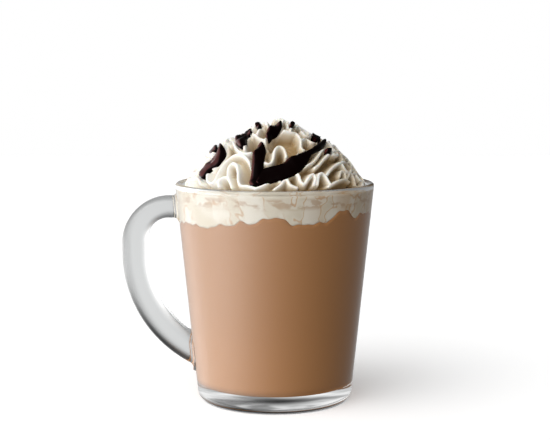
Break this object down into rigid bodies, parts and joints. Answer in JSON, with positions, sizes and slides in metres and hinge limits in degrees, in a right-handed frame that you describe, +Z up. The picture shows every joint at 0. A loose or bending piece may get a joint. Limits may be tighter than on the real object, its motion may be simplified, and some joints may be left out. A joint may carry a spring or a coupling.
{
  "type": "hot chocolate",
  "caption": "Hot chocolate in a clear tapered glass mug with a side handle, under a melting cream layer and a piped whipped cream mound with chocolate sauce.",
  "frame": {"origin": "middle of the mug's flat underside, where it stands on the table", "axes": "+Z up along the mug's axis, the handle points along -X, and +Y points away from the side that the first view shows"},
  "size_m": [0.1197, 0.0944, 0.1335],
  "materials": {
    "clear_glass": "smooth pressed clear glass",
    "drink": "opaque milky brown liquid",
    "melting_cream": "wet pale cream with tan veins",
    "whipped_cream": "soft satin off-white cream",
    "chocolate_sauce": "glossy dark red-brown sauce"
  },
  "bodies": {
    "root": {"mug": "clear_glass", "hot_chocolate": "drink", "cream_layer": "melting_cream", "whipped_cream": "whipped_cream"}
  },
  "joints": []
}
